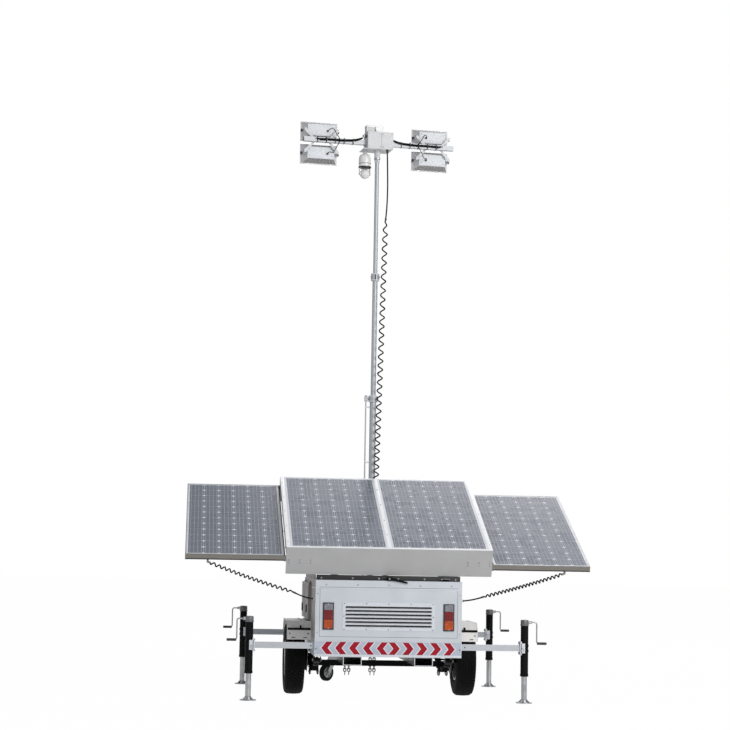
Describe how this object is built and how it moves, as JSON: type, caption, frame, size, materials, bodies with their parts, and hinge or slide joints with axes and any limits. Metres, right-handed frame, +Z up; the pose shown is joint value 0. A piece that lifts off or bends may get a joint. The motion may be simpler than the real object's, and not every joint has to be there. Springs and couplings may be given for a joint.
{
  "type": "solar mobile light tower on a towed trailer",
  "caption": "Towed trailer with a tilting solar tray and side drawers, outrigger jacks, a cabinet and a telescopic mast that carries floodlights and a camera",
  "frame": {"origin": "ground level under the middle of the machine's outer box", "axes": "+Z up, +Y forward along the drawbar, +X to the right seen from behind"},
  "size_m": [3.376, 3.24, 5.235],
  "materials": {
    "white_paint": "powder coated, satin",
    "grey_paint": "powder coated, satin",
    "black_paint": "painted, satin",
    "zinc_steel": "zinc plated",
    "solar_glass": "textured glass over blue grey cells",
    "drawer_aluminium": "mill finish",
    "mast_aluminium": "anodised",
    "head_paint": "light grey, satin",
    "camera_plastic": "moulded",
    "lamp_lens": "ribbed lens",
    "tyre_rubber": "moulded rubber",
    "rim_paint": "silver painted",
    "battery_case": "moulded",
    "black_cord": "smooth jacket"
  },
  "bodies": {
    "root": {"chassis_frame": "white_paint", "axle_beam": "black_paint", "leaf_springs": "black_paint", "fenders": "grey_paint", "cabinet_shell": "white_paint", "cabinet_roof": "white_paint", "louvre_grille": "white_paint", "tail_lamps": "lamp_lens", "battery_block": "battery_case", "tray_latch": "black_paint", "mast_base": "mast_aluminium", "drawbar": "white_paint", "towing_eye": "zinc_steel", "jockey_clamp": "zinc_steel", "safety_chains": "zinc_steel", "mast_cord_coil": "black_cord", "drawer_lead_left": "black_cord", "drawer_lead_right": "black_cord", "drawer_curl_left": "black_cord", "drawer_curl_right": "black_cord"},
    "tray": {"tray_frame": "grey_paint", "tray_modules": "solar_glass"},
    "actuator_barrel": {"actuator_barrel": "black_paint"},
    "actuator_rod": {"actuator_rod": "zinc_steel"},
    "mast_middle": {"mast_middle": "mast_aluminium"},
    "mast_top": {"mast_top": "mast_aluminium", "mast_cord_lead": "black_cord"},
    "head": {"head_box": "head_paint", "crossbar": "mast_aluminium", "security_camera": "camera_plastic"},
    "jockey_fork": {"jockey_fork": "black_paint"},
    "jockey_wheel": {"jockey_wheel": "tyre_rubber"},
    "drawer_left": {"drawer_frame_left": "drawer_aluminium", "drawer_module_left": "solar_glass"},
    "wheel_left": {"tyre_left": "tyre_rubber", "rim_left": "rim_paint"},
    "door_left": {"cabinet_door_left": "white_paint"},
    "drawer_right": {"drawer_frame_right": "drawer_aluminium", "drawer_module_right": "solar_glass"},
    "wheel_right": {"tyre_right": "tyre_rubber", "rim_right": "rim_paint"},
    "door_right": {"cabinet_door_right": "white_paint"},
    "outrigger_front_left": {"outrigger_beam_front_left": "white_paint", "jack_tube_front_left": "black_paint"},
    "leg_front_left": {"jack_leg_front_left": "zinc_steel"},
    "outrigger_front_right": {"outrigger_beam_front_right": "white_paint", "jack_tube_front_right": "black_paint"},
    "leg_front_right": {"jack_leg_front_right": "zinc_steel"},
    "outrigger_rear_left": {"outrigger_beam_rear_left": "white_paint", "jack_tube_rear_left": "black_paint"},
    "leg_rear_left": {"jack_leg_rear_left": "zinc_steel"},
    "outrigger_rear_right": {"outrigger_beam_rear_right": "white_paint", "jack_tube_rear_right": "black_paint"},
    "leg_rear_right": {"jack_leg_rear_right": "zinc_steel"},
    "floodlight_upper_left": {"floodlight_upper_left": "head_paint"},
    "floodlight_lower_left": {"floodlight_lower_left": "head_paint"},
    "floodlight_upper_right": {"floodlight_upper_right": "head_paint"},
    "floodlight_lower_right": {"floodlight_lower_right": "head_paint"}
  },
  "joints": [
    {"name": "tray_tilt", "type": "hinge", "parent": "root", "child": "tray", "pos_m": [0, -1.46474, 1.04279], "axis": [1, 0, 0], "range_deg": [-23, 2]},
    {"name": "actuator_pivot", "type": "hinge", "parent": "root", "child": "actuator_barrel", "pos_m": [0, -1.22, 1.03], "axis": [1, 0, 0], "range_deg": [-31, 4]},
    {"name": "actuator_slide", "type": "slide", "parent": "actuator_barrel", "child": "actuator_rod", "axis": [0, 0.8226, 0.5686], "range_m": [-0.045, 0.008]},
    {"name": "drawer_slide_left", "type": "slide", "parent": "tray", "child": "drawer_left", "axis": [-1, 0, 0], "range_m": [-0.85, 0], "deforming": ["drawer_curl_left"]},
    {"name": "wheel_spin_left", "type": "hinge", "parent": "root", "child": "wheel_left", "pos_m": [-0.736, -0.739, 0.304], "axis": [1, 0, 0], "continuous": true},
    {"name": "door_hinge_left", "type": "hinge", "parent": "root", "child": "door_left", "pos_m": [-0.6165, -0.53, 0.963], "axis": [0, 1, 0], "range_deg": [0, 85]},
    {"name": "drawer_slide_right", "type": "slide", "parent": "tray", "child": "drawer_right", "axis": [1, 0, 0], "range_m": [-0.85, 0], "deforming": ["drawer_curl_right"]},
    {"name": "wheel_spin_right", "type": "hinge", "parent": "root", "child": "wheel_right", "pos_m": [0.736, -0.739, 0.304], "axis": [1, 0, 0], "continuous": true},
    {"name": "door_hinge_right", "type": "hinge", "parent": "root", "child": "door_right", "pos_m": [0.6165, -0.53, 0.963], "axis": [0, -1, 0], "range_deg": [0, 85]},
    {"name": "jockey_swivel", "type": "hinge", "parent": "root", "child": "jockey_fork", "pos_m": [-0.264, 0.988, 0.2], "axis": [0, 0, 1], "continuous": true},
    {"name": "jockey_spin", "type": "hinge", "parent": "jockey_fork", "child": "jockey_wheel", "pos_m": [-0.33294, 0.93015, 0.08], "axis": [0.6428, -0.766, 0], "continuous": true},
    {"name": "outrigger_slide_front_left", "type": "slide", "parent": "root", "child": "outrigger_front_left", "axis": [-1, 0, 0], "range_m": [-0.45, 0]},
    {"name": "leg_slide_front_left", "type": "slide", "parent": "outrigger_front_left", "child": "leg_front_left", "axis": [0, 0, -1], "range_m": [-0.18, 0.12]},
    {"name": "outrigger_slide_front_right", "type": "slide", "parent": "root", "child": "outrigger_front_right", "axis": [1, 0, 0], "range_m": [-0.45, 0]},
    {"name": "leg_slide_front_right", "type": "slide", "parent": "outrigger_front_right", "child": "leg_front_right", "axis": [0, 0, -1], "range_m": [-0.18, 0.12]},
    {"name": "outrigger_slide_rear_left", "type": "slide", "parent": "root", "child": "outrigger_rear_left", "axis": [-1, 0, 0], "range_m": [-0.45, 0]},
    {"name": "leg_slide_rear_left", "type": "slide", "parent": "outrigger_rear_left", "child": "leg_rear_left", "axis": [0, 0, -1], "range_m": [-0.18, 0.12]},
    {"name": "outrigger_slide_rear_right", "type": "slide", "parent": "root", "child": "outrigger_rear_right", "axis": [1, 0, 0], "range_m": [-0.45, 0]},
    {"name": "leg_slide_rear_right", "type": "slide", "parent": "outrigger_rear_right", "child": "leg_rear_right", "axis": [0, 0, -1], "range_m": [-0.18, 0.12]},
    {"name": "mast_middle_slide", "type": "slide", "parent": "root", "child": "mast_middle", "axis": [0, 0, 1], "range_m": [-1, 0.65], "deforming": ["mast_cord_coil"]},
    {"name": "mast_top_slide", "type": "slide", "parent": "mast_middle", "child": "mast_top", "axis": [0, 0, 1], "range_m": [-1, 0.65]},
    {"name": "head_swivel", "type": "hinge", "parent": "mast_top", "child": "head", "pos_m": [0, 0.18, 4.9], "axis": [0, 0, 1], "range_deg": [-150, 150], "deforming": ["mast_cord_lead"]},
    {"name": "floodlight_tilt_upper_left", "type": "hinge", "parent": "head", "child": "floodlight_upper_left", "pos_m": [-0.541, 0.20771, 5.143], "axis": [0.9877, 0.1564, 0], "range_deg": [-60, 30]},
    {"name": "floodlight_tilt_lower_left", "type": "hinge", "parent": "head", "child": "floodlight_lower_left", "pos_m": [-0.541, 0.20771, 4.928], "axis": [0.9877, 0.1564, 0], "range_deg": [-60, 30]},
    {"name": "floodlight_tilt_upper_right", "type": "hinge", "parent": "head", "child": "floodlight_upper_right", "pos_m": [0.52571, 0.37666, 5.143], "axis": [0.9877, 0.1564, 0], "range_deg": [-60, 30]},
    {"name": "floodlight_tilt_lower_right", "type": "hinge", "parent": "head", "child": "floodlight_lower_right", "pos_m": [0.52571, 0.37666, 4.928], "axis": [0.9877, 0.1564, 0], "range_deg": [-60, 30]}
  ],
  "couplings": [
    {"joint": "actuator_pivot", "follows": "tray_tilt", "ratio": 1.305},
    {"joint": "actuator_slide", "follows": "tray_tilt", "m_per_rad": 0.10313}
  ]
}
